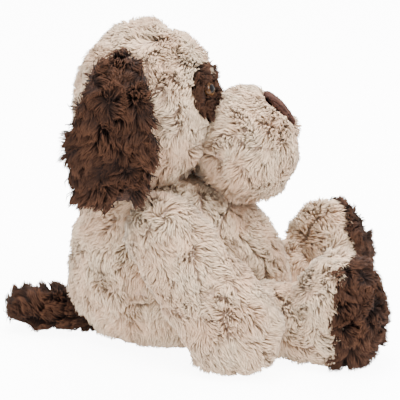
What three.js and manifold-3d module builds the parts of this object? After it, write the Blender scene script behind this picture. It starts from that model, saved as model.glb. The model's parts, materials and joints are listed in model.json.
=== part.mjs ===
// A seated plush dog, built the way the toy is sewn: each limb is a fur skin around its own stuffing, with
// bead bags low down, and the skins are joined at seams that bend. Millimetres, +Z up. The dog faces -Y, its
// right side is -X, and the origin is on the floor under the middle of its seat.
import * as THREE from "three";
import { mergeVertices } from "three/addons/utils/BufferGeometryUtils.js";
import Module from "manifold-3d";

const wasm = await Module();
wasm.setup();

// ---------------------------------------------------------------- driving dimensions
const SKIN = 7; // thickness of a fur skin: backing cloth and the pile that stands on it
const GAP = 0.4; // between pieces that touch
const JOINT_GAP = 1.2; // between pieces that turn against each other
const FACET = 1; // how far a coarse cutter may lie inside the round form it stands for
const INNER_DETAIL = 12; // facets round an inner surface
const RIGHT = -1;
const LEFT = 1;

const TORSO = { at: [0, 4, 74], radii: [74, 98, 81], taper: 0.16, lean: 20, square: 2.6, detail: 18 };
const BELLY_SEAM_Y = -50; // the front panel starts this far in front of the middle
const NECK = { at: [0, 26, 158], radius: 21 };

const HEAD = { at: [0, 34, 225], radii: [69, 63, 74], taper: 0.04, detail: 22 };
const HEAD_NODS = [-15, 0]; // degrees that the shoulders leave room for
const MUZZLE = { at: [0, -60, 186], radii: [54, 46, 49], detail: 20 };
const MUZZLE_ROOM = { at: [0, -56, 186], radii: [87, 55, 55], detail: 14 }; // as the head turns
const NOSE = { rise: 47, half: [19, 20, 21], thick: 4.5 }; // degrees above the muzzle's middle, half sizes
const EYE = { x: 25, z: 243, radius: 7, shank: 2, washer: 9, rim: 0.6, dome: 0.7, depth: 15, reach: 40 };
const WASHER_SPAN = [-12.5, -10.5]; // along the eye's shank, from the face
const EYE_PATCH = { half: [19, 26, 22], thick: 3 };

const EAR = {
  seam: [43, 55, 283],
  path: [[43, 283], [60, 272], [76, 248], [84, 214], [90, 180], [95, 149]], // its middle line, out and down
  topWidth: 50,
  width: 82,
  square: 2.7, // 2 is an ellipse, and more is blunter at the top and the bottom
  widest: 0.62, // of the way down
  sweep: 15, // how far back its tip hangs
  layer: 5,
};

const SHOULDER = [74, 18, 120];
const ARM = { length: 106, shoulder: 32, paw: 42, flat: 0.64, forward: 38.5, outward: 19, detail: 18 };

const HIP = [46, -46, 30];
const LEG = { length: 105, hip: 29, ankle: 36, flat: 0.9, splay: 21.5 };
// A foot's middle stands `lift` above the hip, and the seam of its cap is `cap` past that middle.
const FOOT = { half: [37, 37, 52], lift: 18, cap: 5 };
const LEG_SWINGS = [-22, 4, 30]; // degrees that the torso leaves room for, up to down

const SEAT_BAG = { at: [0, 24, 20], radii: [38, 42, 18], detail: 18 };
const PAW_BAG = { at: [0, 12, -ARM.length - 14], radii: [14, 24, 22], detail: 14 }; // in the arm's own frame
const FOOT_BAG = { at: [0, -LEG.length, -8], radii: [23, 22, 22], detail: 14 }; // in the leg's own frame
const ARMHOLE_RADIUS = 12;
const ARMHOLE_DEPTH = 4; // of the hollow in the torso, beyond the shoulder's own thickness
const PAW_FLARE = 4; // degrees that the arm's inner side stands off the arm's middle line
const TAIL_HOLE_RADIUS = 7;

const TAIL = { root: [0, 93, 19], length: 59, radii: [17, 13] };

// ---------------------------------------------------------------- materials
const cloth = (color, roughness = 0.95) => new THREE.MeshStandardMaterial({ color, roughness, metalness: 0 });
const creamPlush = cloth(0xd9c7b3);
const brownPlush = cloth(0x4a2d1f);
const noseCloth = cloth(0x5b392d, 0.8);
const stuffing = cloth(0xf4f2ec);
const beadBag = cloth(0xe6e0d2);
const eyePlastic = cloth(0x140c08, 0.12);
const washerPlastic = cloth(0xe8e8e4, 0.5);

// ---------------------------------------------------------------- solids
const RAD = THREE.MathUtils.degToRad;

/** A closed three.js geometry as a manifold solid. */
function solid(geometry) {
  const bare = geometry.clone();
  bare.deleteAttribute("normal");
  bare.deleteAttribute("uv");
  const merged = mergeVertices(bare, 1e-4);
  return new wasm.Manifold(
    new wasm.Mesh({
      numProp: 3,
      vertProperties: merged.attributes.position.array,
      triVerts: new Uint32Array(merged.index.array),
    }),
  );
}

/** A manifold solid as a three.js geometry. */
function geometryOf(made) {
  const { numProp, numVert, vertProperties, triVerts } = made.getMesh();
  const position = new Float32Array(numVert * 3);
  for (let i = 0; i < numVert; i++) {
    const from = i * numProp;
    position.set(vertProperties.subarray(from, from + 3), i * 3);
  }
  const geometry = new THREE.BufferGeometry();
  geometry.setAttribute("position", new THREE.BufferAttribute(position, 3));
  geometry.setIndex(new THREE.BufferAttribute(triVerts, 1));
  geometry.computeVertexNormals();
  return geometry;
}

/** A form's inner surface, `inset` inside its skin, in fewer facets. */
const inner = (form, inset) => egg({ ...form, detail: INNER_DETAIL + 2 }, -inset);

const moved = (geometry, matrix) => geometry.clone().applyMatrix4(matrix);
const minus = (whole, ...cutters) => cutters.reduce((left, cutter) => left.subtract(cutter), whole);

/**
 * A stuffed round form. It narrows upwards by `taper`, its upper half leans back by `lean`, and above 2
 * `square`
 * makes its sides stand straighter.
 */
function egg({ at, radii, taper = 0, lean = 0, square = 2, detail = 20 }, grow = 0) {
  const geometry = new THREE.SphereGeometry(1, detail, Math.round(detail * 0.6)).rotateX(Math.PI / 2);
  const p = geometry.attributes.position;
  for (let i = 0; i < p.count; i++) {
    const [x, y, z] = [p.getX(i), p.getY(i), p.getZ(i)];
    const round = Math.hypot(x, y);
    const squared = round > 1e-6 ? (1 - Math.abs(z) ** square) ** (1 / square) / round : 1;
    const wide = (1 - taper * z) * squared;
    p.setXYZ(
      i,
      at[0] + (radii[0] + grow) * wide * x,
      at[1] + (radii[1] + grow) * wide * y + lean * Math.max(z, 0),
      at[2] + (radii[2] + grow) * z,
    );
  }
  return geometry;
}

/** A stuffed tube with round ends, from the origin down to z = -length, flattened from side to side. */
function tube({ length, start, end, flat = 1, detail = 18 }, grow = 0) {
  const steps = detail > 12 ? 5 : 3;
  const outline = [];
  for (let i = 0; i <= steps; i++) {
    const a = (i / steps) * (Math.PI / 2);
    outline.push(new THREE.Vector2((end + grow) * Math.sin(a), -length - (end + grow) * Math.cos(a)));
  }
  for (let i = 0; i <= steps; i++) {
    const a = (i / steps) * (Math.PI / 2);
    outline.push(new THREE.Vector2((start + grow) * Math.cos(a), (start + grow) * Math.sin(a)));
  }
  outline[0].x = outline[outline.length - 1].x = 0;
  const side = (Math.max(start, end) * flat + grow) / (Math.max(start, end) + grow);
  return new THREE.LatheGeometry(outline, detail).rotateX(Math.PI / 2).scale(side, 1, 1);
}

/** Blocks to cut with: everything below the height z, in front of the plane y, and behind it. */
const BLOCK = 900;
const below = (z) => new THREE.BoxGeometry(BLOCK, BLOCK, BLOCK).translate(0, 0, z - BLOCK / 2);
const before = (y) => new THREE.BoxGeometry(BLOCK, BLOCK, BLOCK).translate(0, y - BLOCK / 2, 0);
const behind = (y) => new THREE.BoxGeometry(BLOCK, BLOCK, BLOCK).translate(0, y + BLOCK / 2, 0);

// ---------------------------------------------------------------- the tree of named meshes
const dog = new THREE.Group();

function add(parent, name, made, material) {
  const mesh = new THREE.Mesh(geometryOf(made), material);
  mesh.name = name;
  parent.add(mesh);
  return mesh;
}

/** A nested group at `at`, turned by `turn` degrees about X, then Y, then Z of the part's frame. */
function groupAt(at, turn = [0, 0, 0]) {
  const group = new THREE.Group();
  group.position.set(...at);
  group.rotation.set(...turn.map(RAD));
  group.updateMatrix();
  dog.add(group);
  return group;
}

/** The matrix of a turn by `degrees` about an axis through `at`. */
function turnAbout(at, axis, degrees) {
  const there = new THREE.Matrix4().makeTranslation(...at);
  const back = new THREE.Matrix4().makeTranslation(-at[0], -at[1], -at[2]);
  return there.multiply(new THREE.Matrix4().makeRotationAxis(axis, RAD(degrees))).multiply(back);
}

const X = new THREE.Vector3(1, 0, 0);
const Z = new THREE.Vector3(0, 0, 1);

// ---------------------------------------------------------------- legs and feet
/** A leg in its own frame: hip at the origin, lying along -Y. `inset` shrinks it on every side. */
function legForm(inset) {
  const detail = inset ? INNER_DETAIL : 18;
  const thigh = tube({ length: LEG.length, start: LEG.hip, end: LEG.ankle, flat: LEG.flat, detail }, -inset);
  const lying = thigh.rotateX(-Math.PI / 2);
  const foot = egg({ at: [0, -LEG.length, FOOT.lift], radii: FOOT.half, detail }, -inset);
  return solid(lying).add(solid(foot)).subtract(solid(below(inset - HIP[2])));
}

const FOOT_SEAM = -LEG.length - FOOT.cap;

function addLeg(side, word) {
  const group = groupAt([side * HIP[0], HIP[1], HIP[2]], [0, 0, side * LEG.splay]);
  const shell = minus(legForm(0), legForm(SKIN));
  add(group, `leg_${word}_skin`, minus(shell, solid(before(FOOT_SEAM))), creamPlush);
  add(group, `foot_${word}_cap`, minus(shell, solid(behind(FOOT_SEAM - GAP))), brownPlush);
  const inside = legForm(SKIN + GAP);
  add(group, `foot_${word}_bead_bag`, solid(egg(FOOT_BAG)).intersect(inside), beadBag);
  add(group, `leg_${word}_stuffing`, minus(inside, solid(egg(FOOT_BAG, GAP))), stuffing);
}

/** The room that a leg needs in the torso, from fully up to fully down. */
function legRoom(side, grow) {
  const place = new THREE.Matrix4()
    .makeTranslation(side * HIP[0], HIP[1], HIP[2])
    .multiply(new THREE.Matrix4().makeRotationZ(RAD(side * LEG.splay)));
  const thigh = tube(
    { length: LEG.length, start: LEG.hip, end: LEG.ankle, flat: LEG.flat, detail: 10 },
    grow + FACET,
  ).rotateX(-Math.PI / 2);
  const placed = moved(thigh, place);
  return LEG_SWINGS.map((swing) => solid(moved(placed, turnAbout([0, HIP[1], HIP[2]], X, swing))));
}

// ---------------------------------------------------------------- arms and paws
function armTube(inset) {
  const detail = inset ? INNER_DETAIL : ARM.detail;
  return tube({ length: ARM.length, start: ARM.shoulder, end: ARM.paw, flat: ARM.flat, detail }, -inset);
}

function addArm(side, word) {
  const shoulder = [side * SHOULDER[0], SHOULDER[1], SHOULDER[2]];
  const group = groupAt(shoulder, [-ARM.forward, -side * ARM.outward, 0]);
  const toArm = group.matrix.clone().invert();
  const floor = (inset) => solid(moved(below(inset), toArm));
  const form = (inset) => minus(solid(armTube(inset)), floor(inset));
  // The armhole, where the skin is sewn to the torso, is round about the line that the arm swings about.
  const armhole = new THREE.CylinderGeometry(ARMHOLE_RADIUS, ARMHOLE_RADIUS, SHOULDER[0], 16)
    .rotateZ(Math.PI / 2)
    .translate((side * SHOULDER[0]) / 2, SHOULDER[1], SHOULDER[2]);
  add(group, `arm_${word}_skin`, minus(form(0), form(SKIN), solid(moved(armhole, toArm))), creamPlush);
  const inside = form(SKIN + GAP);
  add(group, `paw_${word}_bead_bag`, solid(egg(PAW_BAG)).intersect(inside), beadBag);
  add(group, `arm_${word}_stuffing`, minus(inside, solid(egg(PAW_BAG, GAP))), stuffing);
}

/** The hollow in the torso's side that the arm swings in. It is round about the shoulder line. */
function armRoom(side, grow) {
  const reach = ARM.length + 2 * ARM.paw;
  const farOut = 2 * reach;
  const inner = SHOULDER[0] - ARM.shoulder * ARM.flat - ARMHOLE_DEPTH - grow;
  const slope = Math.tan(RAD(ARM.outward - PAW_FLARE));
  const outline = [
    new THREE.Vector2(0, inner),
    new THREE.Vector2(reach, inner + reach * slope),
    new THREE.Vector2(reach, farOut),
    new THREE.Vector2(0, farOut),
  ];
  const hollow = new THREE.LatheGeometry(outline, 20)
    .rotateZ(side === RIGHT ? Math.PI / 2 : -Math.PI / 2)
    .translate(0, SHOULDER[1], SHOULDER[2]);
  return solid(hollow);
}

// ---------------------------------------------------------------- torso
/** The room that the head needs above the torso, at each nod. */
function headRoom(grow, detail) {
  const form = egg({ ...HEAD, detail }, grow + 2 * FACET);
  return HEAD_NODS.map((nod) => solid(moved(form, turnAbout(NECK.at, X, nod))));
}

const neckBall = (grow) => new THREE.SphereGeometry(NECK.radius + grow, 14, 9).translate(...NECK.at);
function tailRoom(grow) {
  return new THREE.SphereGeometry(TAIL.radii[0] + 3 * FACET + grow, 12, 8).translate(...TAIL.root);
}

function torsoForm(inset, detail) {
  const room = JOINT_GAP + inset;
  return minus(
    solid(egg({ ...TORSO, detail }, -inset)),
    solid(below(inset)),
    ...headRoom(room, detail),
    solid(egg(MUZZLE_ROOM, room)),
    ...[RIGHT, LEFT].flatMap((side) => [...legRoom(side, room), armRoom(side, room)]),
    solid(tailRoom(room)),
  );
}

function addTorso() {
  const shell = minus(torsoForm(0, TORSO.detail), torsoForm(SKIN, INNER_DETAIL), solid(neckBall(JOINT_GAP)));
  add(dog, "torso_skin", minus(shell, solid(before(BELLY_SEAM_Y))), creamPlush);
  add(dog, "belly_panel", minus(shell, solid(behind(BELLY_SEAM_Y - GAP))), creamPlush);
  const inside = torsoForm(SKIN + GAP, INNER_DETAIL);
  add(dog, "seat_bead_bag", solid(egg(SEAT_BAG)).intersect(inside), beadBag);
  add(dog, "torso_stuffing", minus(inside, solid(egg(SEAT_BAG, GAP)), solid(neckBall(JOINT_GAP))), stuffing);
  add(dog, "neck_stuffing", solid(neckBall(0)), stuffing);
}

// ---------------------------------------------------------------- head
/** The place on the front of the head where an eye sits, as a matrix whose +Z points out of the face. */
function eyePlace(side) {
  const [x, z] = [side * EYE.x, EYE.z - HEAD.at[2]];
  const [a, b, c] = HEAD.radii;
  const wide = 1 - (HEAD.taper * z) / c;
  const y = -b * wide * Math.sqrt(1 - (z / c) ** 2 - (x / (a * wide)) ** 2);
  const out = new THREE.Vector3(x / a ** 2, y / b ** 2, z / c ** 2).normalize();
  const turn = new THREE.Quaternion().setFromUnitVectors(Z, out);
  const point = new THREE.Vector3(x, y + HEAD.at[1], EYE.z);
  return new THREE.Matrix4().compose(point, turn, new THREE.Vector3(1, 1, 1));
}

/** A disc across the Z axis. */
function disc(radius, from, to, detail = 16) {
  const flat = new THREE.CylinderGeometry(radius, radius, to - from, detail).rotateX(Math.PI / 2);
  return flat.translate(0, 0, (from + to) / 2);
}

/** A safety eye: a domed button with a shank that goes through the face to its washer. */
function eyeForm() {
  const steps = 6;
  const seat = EYE_PATCH.thick + GAP;
  const rim = seat + EYE.rim;
  const height = EYE.radius * EYE.dome;
  const outline = [
    new THREE.Vector2(0, -EYE.depth),
    new THREE.Vector2(EYE.shank, -EYE.depth),
    new THREE.Vector2(EYE.shank, seat),
  ];
  for (let i = 0; i < steps; i++) {
    const a = (i / steps) * (Math.PI / 2);
    outline.push(new THREE.Vector2(EYE.radius * Math.cos(a), rim + height * Math.sin(a)));
  }
  outline.push(new THREE.Vector2(0, rim + height));
  return new THREE.LatheGeometry(outline, 16).rotateX(Math.PI / 2);
}

function addEye(side, word) {
  const place = eyePlace(side);
  const bore = disc(EYE.shank + GAP, -EYE.reach, EYE.reach, 12);
  const hole = solid(moved(bore, place));
  const centre = new THREE.Vector3().setFromMatrixPosition(place).toArray();
  const outline = solid(egg({ at: centre, radii: EYE_PATCH.half, detail: 16 }));
  const layer = minus(solid(egg(HEAD, EYE_PATCH.thick)), solid(egg(HEAD, GAP)), solid(egg(MUZZLE, GAP)));
  add(dog, `eye_patch_${word}`, minus(layer.intersect(outline), hole), brownPlush);
  add(dog, `eye_${word}`, solid(moved(eyeForm(), place)), eyePlastic);
  const [back, front] = WASHER_SPAN;
  const washer = minus(solid(disc(EYE.washer, back, front)), solid(bore));
  add(dog, `eye_washer_${word}`, solid(moved(geometryOf(washer), place)), washerPlastic);
  const room = disc(EYE.washer + GAP, -EYE.depth - FACET, -SKIN);
  return { hole, room: solid(moved(room, place)) };
}

function addHead() {
  const eyes = [addEye(RIGHT, "right"), addEye(LEFT, "left")];
  const headHole = solid(neckBall(JOINT_GAP));
  const hollow = solid(inner(HEAD, SKIN));
  add(dog, "head_skin", minus(solid(egg(HEAD)), hollow, headHole, ...eyes.map((e) => e.hole)), creamPlush);
  const core = solid(inner(HEAD, SKIN + GAP));
  add(dog, "head_stuffing", minus(core, headHole, ...eyes.map((e) => e.room)), stuffing);

  const face = solid(egg(HEAD, GAP));
  add(dog, "muzzle_skin", minus(solid(egg(MUZZLE)), solid(inner(MUZZLE, SKIN)), face), creamPlush);
  add(dog, "muzzle_stuffing", minus(solid(inner(MUZZLE, SKIN + GAP)), face), stuffing);

  const rise = RAD(NOSE.rise);
  const [, muzzleY, muzzleZ] = MUZZLE.at;
  const [, deep, high] = MUZZLE.radii;
  const nosePoint = [0, muzzleY - deep * Math.cos(rise), muzzleZ + high * Math.sin(rise)];
  const noseOutline = solid(egg({ at: nosePoint, radii: NOSE.half, detail: 18 }));
  const noseLayer = minus(solid(egg(MUZZLE, NOSE.thick)), solid(egg(MUZZLE, GAP)));
  add(dog, "nose", noseLayer.intersect(noseOutline), noseCloth);
}

// ---------------------------------------------------------------- ears
/** One layer of an ear: a flat teardrop that follows the ear's middle line, on the side `face` of it. */
function earLayer(side, face) {
  const line = new THREE.CatmullRomCurve3(EAR.path.map(([x, z]) => new THREE.Vector3(side * x, 0, z)));
  const geometry = new THREE.SphereGeometry(1, 14, 14).rotateX(Math.PI / 2);
  const p = geometry.attributes.position;
  for (let i = 0; i < p.count; i++) {
    const [thick, wide, z] = [p.getX(i), p.getY(i), p.getZ(i)];
    const down = (1 - z) / 2;
    const middle = line.getPointAt(down);
    const along = line.getTangentAt(down);
    const round = Math.sqrt(Math.max(1 - z ** 2, 1e-6));
    const blunt = (1 - Math.abs(z) ** EAR.square) ** (1 / EAR.square) / round;
    const half = (blunt * THREE.MathUtils.lerp(EAR.topWidth, EAR.width, Math.min(down / EAR.widest, 1))) / 2;
    const out = face * (GAP / 2 + EAR.layer * (1 + side * face * thick) * 0.5);
    p.setXYZ(
      i,
      middle.x - side * along.z * out,
      EAR.seam[1] + half * wide + EAR.sweep * down,
      middle.z + side * along.x * out,
    );
  }
  return geometry;
}

function addEar(side, word) {
  add(dog, `ear_${word}_front`, solid(earLayer(side, 1)), brownPlush);
  add(dog, `ear_${word}_lining`, solid(earLayer(side, -1)), brownPlush);
}

// ---------------------------------------------------------------- tail
function addTail() {
  const group = groupAt(TAIL.root);
  const form = (inset) => {
    const lying = tube({ length: TAIL.length, start: TAIL.radii[0], end: TAIL.radii[1], detail: 14 }, -inset);
    return minus(solid(lying.rotateX(Math.PI / 2)), solid(below(inset - TAIL.root[2])));
  };
  const opening = new THREE.CylinderGeometry(TAIL_HOLE_RADIUS, TAIL_HOLE_RADIUS, 2 * TAIL.radii[0], 12);
  opening.translate(0, -TAIL.radii[0], 0);
  add(group, "tail_skin", minus(form(0), form(SKIN), solid(opening)), brownPlush);
  add(group, "tail_stuffing", form(SKIN + GAP), stuffing);
}

addTorso();
addHead();
for (const [side, word] of [
  [RIGHT, "right"],
  [LEFT, "left"],
]) {
  addLeg(side, word);
  addArm(side, word);
  addEar(side, word);
}
addTail();

export default dog;
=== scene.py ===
# %% [markdown]
# # A seated plush dog
# Each padded limb is a cloth form blown up over its CAD skin. Its fur is a second piece: thousands of small
# locks of pile that Geometry Nodes spread over that form, comb, and pull together into tufts.

# %% Set up
import math

import bmesh
import bpy
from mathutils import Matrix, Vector, noise
from mathutils.bvhtree import BVHTree
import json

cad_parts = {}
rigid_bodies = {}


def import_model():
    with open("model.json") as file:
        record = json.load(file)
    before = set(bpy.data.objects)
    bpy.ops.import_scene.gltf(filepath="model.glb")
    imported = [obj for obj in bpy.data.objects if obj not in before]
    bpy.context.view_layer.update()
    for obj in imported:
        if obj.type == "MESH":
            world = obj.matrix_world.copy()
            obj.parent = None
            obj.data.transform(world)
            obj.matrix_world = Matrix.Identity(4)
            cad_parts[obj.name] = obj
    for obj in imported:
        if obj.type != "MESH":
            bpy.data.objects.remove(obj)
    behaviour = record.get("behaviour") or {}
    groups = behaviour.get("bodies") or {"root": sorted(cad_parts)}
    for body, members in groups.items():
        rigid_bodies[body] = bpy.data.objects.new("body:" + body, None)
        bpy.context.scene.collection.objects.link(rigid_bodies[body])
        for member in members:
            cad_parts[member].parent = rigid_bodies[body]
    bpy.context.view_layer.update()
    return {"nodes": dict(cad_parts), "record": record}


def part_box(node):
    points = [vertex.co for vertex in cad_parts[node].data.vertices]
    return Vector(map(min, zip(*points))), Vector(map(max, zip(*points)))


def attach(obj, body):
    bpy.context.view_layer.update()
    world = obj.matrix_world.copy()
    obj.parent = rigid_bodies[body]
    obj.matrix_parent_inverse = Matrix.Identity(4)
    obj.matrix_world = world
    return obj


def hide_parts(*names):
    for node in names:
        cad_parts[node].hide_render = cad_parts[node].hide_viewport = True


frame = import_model()
scene = bpy.context.scene
MM = 0.001
SIDES = ("right", "left")
NODES = frame["nodes"]
PIVOT = {joint["name"]: Vector(joint["pos_m"]) for joint in frame["record"]["behaviour"]["joints"]}
print("nodes:", len(NODES), "joints:", len(PIVOT))


def middle(node):
    low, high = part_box(node)
    return (Vector(low) + Vector(high)) / 2


# %% [markdown]
# ## Colour and fabric
# Long plush is a knitted backing with fibres standing on it. Light gets into the pile, so its tips look pale
# and its partings look dark and warm. The colour runs along each lock from root to tip: partly the fibres'
# own tipped colour, partly painted shade at the roots and painted light at the tips. It also drifts a little
# from place to place, as it does when the pile has been handled, and the locks are painted darker where the
# pile is short, between limbs and near the floor: painted shade. Sheen stands for the light that scatters off
# the sides of the fibres.


# %% Materials
def material(name, rough=0.9, sheen=0.0):
    made = bpy.data.materials.new(name)
    made.use_nodes = True
    shader = made.node_tree.nodes["Principled BSDF"]
    shader.inputs["Roughness"].default_value = rough
    shader.inputs["Sheen Weight"].default_value = sheen
    return made, made.node_tree, shader


def node(tree, kind, **values):
    made = tree.nodes.new(kind)
    for name, value in values.items():
        if name in made.inputs:
            made.inputs[name].default_value = value
        else:
            setattr(made, name, value)
    return made


def own_place(tree):
    return tree.nodes.new("ShaderNodeTexCoord").outputs["Object"]


def cloudy(tree, scale, detail=2.0):
    """A soft pattern in the piece's own coordinates; scale is in patches a metre."""
    pattern = node(tree, "ShaderNodeTexNoise", Scale=scale, Detail=detail)
    tree.links.new(own_place(tree), pattern.inputs["Vector"])
    return pattern.outputs["Fac"]


def ramp(tree, value, *stops):
    made = tree.nodes.new("ShaderNodeValToRGB")
    tree.links.new(value, made.inputs["Fac"])
    elements = made.color_ramp.elements
    while len(elements) < len(stops):
        elements.new(0.5)
    for element, (place, colour) in zip(elements, stops):
        element.position = place
        element.color = (*colour, 1.0)
    return made.outputs["Color"]


def blended(tree, kind, share, first, second):
    mix = node(tree, "ShaderNodeMix", data_type="RGBA", blend_type=kind)
    for socket, value in zip((mix.inputs[0], mix.inputs[6], mix.inputs[7]), (share, first, second)):
        if isinstance(value, bpy.types.NodeSocket):
            tree.links.new(value, socket)
        else:
            socket.default_value = value if isinstance(value, float) else (*value, 1.0)
    return mix.outputs[2]


def bumped(tree, shader, height, distance, strength=0.6):
    bump = node(tree, "ShaderNodeBump", Strength=strength, Distance=distance)
    tree.links.new(height, bump.inputs["Height"])
    tree.links.new(bump.outputs["Normal"], shader.inputs["Normal"])


def painted(tree, shader, colour):
    tree.links.new(colour, shader.inputs["Base Color"])


WHITE = (1.0, 1.0, 1.0)
DULLEST_LOCK = (0.80, 0.78, 0.76)
# Painted shade: the next colour darkens the locks where the pile is shortest, between limbs and under the
# toy; CROWDED marks where it is darkest.
CREASE_SHADE = (0.72, 0.66, 0.62)
CROWDED = 0.45  # share of the locks that stand where the pile is shortest
FORM_SHARE = 0.7  # share of a lock's shading that follows the form under it
PILE_ROUGHNESS = 0.85
PILE_SPECULAR = 0.25
DRIFT_SCALE = 28.0  # patches a metre


def pile_material(name, root, body, tip, drift, sheen):
    """Pile: its colour runs along a lock, with a tint per lock, a slow drift over the toy and painted shade
    where it is short.
    """
    made, tree, shader = material(name, PILE_ROUGHNESS, sheen)
    shader.inputs["Specular IOR Level"].default_value = PILE_SPECULAR
    along = node(tree, "ShaderNodeAttribute", attribute_name="along").outputs["Fac"]
    tint = node(tree, "ShaderNodeAttribute", attribute_name="tint").outputs["Fac"]
    # Root to tip: the fibres' own tipped colour, with painted shade at the roots and painted light at the
    # tips.
    run = ramp(tree, along, (0.0, root), (0.45, body), (1.0, tip))
    patches = ramp(tree, cloudy(tree, DRIFT_SCALE, 3.0), (0.35, drift), (0.62, WHITE))
    locks = ramp(tree, tint, (0.0, DULLEST_LOCK), (1.0, WHITE))
    toned = blended(tree, "MULTIPLY", 1.0, run, patches)
    # Painted shade: locks where the pile is short, between limbs and under the toy, are darkened.
    open_air = node(tree, "ShaderNodeAttribute", attribute_name="open").outputs["Fac"]
    crease_shade = ramp(tree, open_air, (CROWDED, CREASE_SHADE), (1.0, WHITE))
    varied = blended(tree, "MULTIPLY", 1.0, toned, locks)
    painted(tree, shader, blended(tree, "MULTIPLY", 1.0, varied, crease_shade))
    # Light scattered from fibre to fibre evens out a lock's sides, so its shading partly follows the form.
    lie = node(tree, "ShaderNodeAttribute", attribute_name="lie").outputs["Vector"]
    turned = node(
        tree, "ShaderNodeVectorTransform", vector_type="NORMAL", convert_from="OBJECT", convert_to="WORLD"
    )
    tree.links.new(lie, turned.inputs[0])
    own = node(tree, "ShaderNodeNewGeometry").outputs["Normal"]
    mixed = node(tree, "ShaderNodeMix", data_type="VECTOR")
    mixed.inputs[0].default_value = FORM_SHARE
    tree.links.new(own, mixed.inputs[4])
    tree.links.new(turned.outputs[0], mixed.inputs[5])
    unit = node(tree, "ShaderNodeVectorMath", operation="NORMALIZE")
    tree.links.new(mixed.outputs[1], unit.inputs[0])
    tree.links.new(unit.outputs[0], shader.inputs["Normal"])
    return made


def backing_material(name, deep, light):
    """The knitted backing that shows between the roots of the pile."""
    made, tree, shader = material(name, 0.95)
    pattern = cloudy(tree, 900.0, 2.0)
    painted(tree, shader, ramp(tree, pattern, (0.3, deep), (0.7, light)))
    bumped(tree, shader, pattern, 0.0006)
    return made


CREAM_PILE = pile_material(
    "cream_pile", (0.78, 0.56, 0.385), (0.83, 0.605, 0.405), (0.93, 0.75, 0.545), (0.95, 0.84, 0.80), 0.25
)
BROWN_DRIFT = (0.72, 0.68, 0.66)
BROWN_PILE = pile_material(
    "brown_pile", (0.014, 0.004, 0.0015), (0.038, 0.0135, 0.0052), (0.145, 0.060, 0.029), BROWN_DRIFT, 0.03
)
NOSE_PILE = pile_material(
    "nose_pile", (0.06, 0.022, 0.014), (0.125, 0.048, 0.032), (0.20, 0.086, 0.060), (0.85, 0.82, 0.8), 0.05
)
CREAM_BACK = backing_material("cream_backing", (0.50, 0.33, 0.24), (0.62, 0.44, 0.33))
BROWN_BACK = backing_material("brown_backing", (0.026, 0.009, 0.004), (0.046, 0.017, 0.008))


def fibre_material():
    made, tree, shader = material("fibre_fill", 0.9, sheen=0.4)
    wisps = node(tree, "ShaderNodeTexNoise", Scale=260.0, Detail=6.0, Distortion=2.0)
    tree.links.new(own_place(tree), wisps.inputs["Vector"])
    fac = wisps.outputs["Fac"]
    painted(tree, shader, ramp(tree, fac, (0.3, (0.66, 0.65, 0.62)), (0.7, (0.93, 0.925, 0.90))))
    bumped(tree, shader, fac, 0.002, 0.8)
    return made


def beads_material():
    """Woven cotton with beads pressing through it from inside."""
    made, tree, shader = material("bead_pouch_cloth", 0.9)
    beads = node(tree, "ShaderNodeTexVoronoi", Scale=330.0)
    tree.links.new(own_place(tree), beads.inputs["Vector"])
    far = beads.outputs["Distance"]
    # The cloth is painted darker between the beads, where it sinks: painted shade in the hollows.
    painted(tree, shader, ramp(tree, far, (0.1, (0.80, 0.755, 0.66)), (0.7, (0.62, 0.56, 0.46))))
    bumped(tree, shader, far, -0.0015, 0.7)
    return made


def eye_material():
    """A dome of clear resin over a golden-brown ring and a black pupil, in its own coordinates."""
    made, tree, shader = material("eye_resin", 0.06)
    shader.inputs["Specular IOR Level"].default_value = 0.2
    mottle = cloudy(tree, 700.0, 4.0)
    iris = ramp(tree, mottle, (0.3, (0.030, 0.012, 0.004)), (0.75, (0.120, 0.052, 0.016)))
    ring = node(tree, "ShaderNodeAttribute", attribute_name="ring").outputs["Fac"]
    mask = ramp(tree, ring, (0.55, (0.0, 0.0, 0.0)), (0.62, WHITE))
    painted(tree, shader, blended(tree, "MIX", mask, (0.004, 0.003, 0.003), iris))
    return made


def moulded_material():
    made, tree, shader = material("washer_moulded", 0.45)
    fac = cloudy(tree, 500.0, 3.0)
    painted(tree, shader, ramp(tree, fac, (0.3, (0.74, 0.74, 0.71)), (0.7, (0.82, 0.82, 0.79))))
    bumped(tree, shader, fac, 0.0001, 0.3)
    return made


FIBRE, BEADS, RESIN, MOULDED = fibre_material(), beads_material(), eye_material(), moulded_material()
print("materials:", len(bpy.data.materials))

# %% [markdown]
# ## Forms
# Each form starts as a fine ball whose points are pulled in, straight towards its middle, until they meet the
# CAD skin. A voxel remesh then makes its facets even, so that a cloth simulation can blow it up the same
# everywhere.


# %% Tools for forms
def tree_of(names):
    """A search tree over CAD nodes, in the part's frame."""
    points, faces = [], []
    for name in names:
        thing = NODES[name]
        start = len(points)
        points += [thing.matrix_world @ v.co for v in thing.data.vertices]
        faces += [[start + i for i in face.vertices] for face in thing.data.polygons]
    return BVHTree.FromPolygons(points, faces)


def new_object(name, mesh):
    made = bpy.data.objects.new(name, mesh)
    scene.collection.objects.link(made)
    return made


def mesh_from(name, points, faces):
    mesh = bpy.data.meshes.new(name)
    mesh.from_pydata([tuple(p) for p in points], [], faces)
    mesh.update()
    return mesh


def apply_modifiers(thing):
    shown = thing.evaluated_get(bpy.context.evaluated_depsgraph_get())
    done = bpy.data.meshes.new_from_object(shown)
    thing.modifiers.clear()
    old, thing.data = thing.data, done
    bpy.data.meshes.remove(old)


def remesh(thing, size):
    step = thing.modifiers.new("even", "REMESH")
    step.mode = "VOXEL"
    step.voxel_size = size
    apply_modifiers(thing)


def shade_smooth(thing):
    thing.data.polygons.foreach_set("use_smooth", [True] * len(thing.data.polygons))


FAR = 0.4  # further out than any skin
BALL_SUBDIVISIONS = 6


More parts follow.
